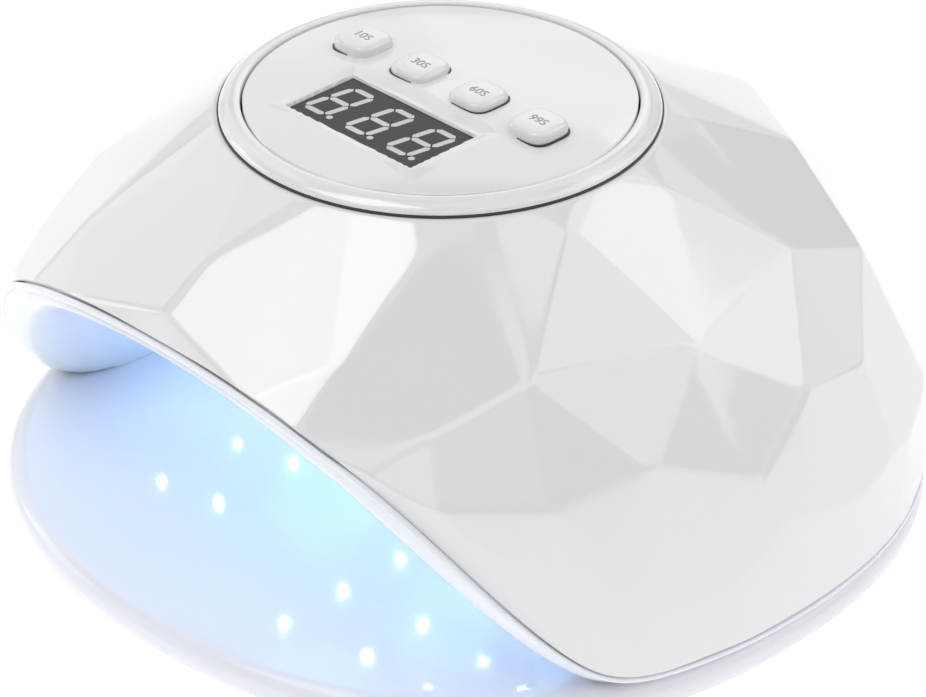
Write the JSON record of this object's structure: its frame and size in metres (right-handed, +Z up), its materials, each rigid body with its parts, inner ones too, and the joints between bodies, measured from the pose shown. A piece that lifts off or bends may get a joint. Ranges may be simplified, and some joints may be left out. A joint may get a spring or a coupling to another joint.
{
  "type": "uv curing lamp",
  "caption": "Table-top LED curing lamp: faceted white dome with an arched hand opening, round timer panel with digital display and push buttons, on a loose base tray.",
  "frame": {"origin": "centre of the base on the table, on the lamp's middle plane", "axes": "+Z up, hand opening towards -Y, +X to the right of a person reading the display"},
  "size_m": [0.204, 0.1998, 0.1034],
  "materials": {
    "gloss_white": "high gloss injection-moulded white",
    "panel_white": "gloss white with grey printed marks",
    "liner_white": "semi-gloss white, reflects the lamp's light",
    "tray_white": "high gloss white",
    "display_black": "dark grey epoxy face",
    "display_segment": "pale grey unlit segments",
    "lens_clear": "clear epoxy lens, glowing violet-blue",
    "board_alu": "white-lacquered aluminium board",
    "board_green": "green solder mask on glass-fibre board",
    "rubber_grey": "matt rubber",
    "steel": "zinc-plated steel",
    "magnet_nickel": "nickel-plated",
    "part_black": "black moulded component",
    "header_ivory": "ivory nylon",
    "copper_coil": "enamelled copper winding",
    "lead_red": "sleeved bundle of leads"
  },
  "bodies": {
    "base": {"base_tray": "tray_white", "rubber_feet": "rubber_grey", "tray_magnets": "magnet_nickel"},
    "housing": {"upper_shell": "gloss_white", "inner_liner": "liner_white", "bottom_frame": "liner_white", "housing_magnets": "magnet_nickel", "housing_screws": "steel", "bezel_ring": "gloss_white", "control_panel": "panel_white", "panel_screws": "steel", "display_body": "display_black", "display_segments": "display_segment", "tact_switches": "part_black", "control_board": "board_green", "controller_chip": "part_black", "ribbon_header": "header_ivory", "left_light_board": "board_alu", "left_lights": "lens_clear", "right_light_board": "board_alu", "right_lights": "lens_clear", "left_roof_board": "board_alu", "left_roof_lights": "lens_clear", "right_roof_board": "board_alu", "right_roof_lights": "lens_clear", "rear_light_board": "board_alu", "rear_lights": "lens_clear", "board_screws": "steel", "driver_board": "board_green", "driver_coil": "copper_coil", "driver_capacitors": "part_black", "hand_sensor": "part_black", "dc_socket": "part_black", "wire_harness": "lead_red"},
    "key_10s": {"button_10s": "panel_white"},
    "key_30s": {"button_30s": "panel_white"},
    "key_60s": {"button_60s": "panel_white"},
    "key_99s": {"button_99s": "panel_white"}
  },
  "joints": [
    {"name": "housing_lift", "type": "slide", "parent": "base", "child": "housing", "axis": [0, 0, 1], "range_m": [0, 0.12]},
    {"name": "press_10s", "type": "slide", "parent": "housing", "child": "key_10s", "axis": [0, 0, -1], "range_m": [0, 0.0008], "stiffness_N_per_m": 2000},
    {"name": "press_30s", "type": "slide", "parent": "housing", "child": "key_30s", "axis": [0, 0, -1], "range_m": [0, 0.0008], "stiffness_N_per_m": 2000},
    {"name": "press_60s", "type": "slide", "parent": "housing", "child": "key_60s", "axis": [0, 0, -1], "range_m": [0, 0.0008], "stiffness_N_per_m": 2000},
    {"name": "press_99s", "type": "slide", "parent": "housing", "child": "key_99s", "axis": [0, 0, -1], "range_m": [0, 0.0008], "stiffness_N_per_m": 2000}
  ]
}
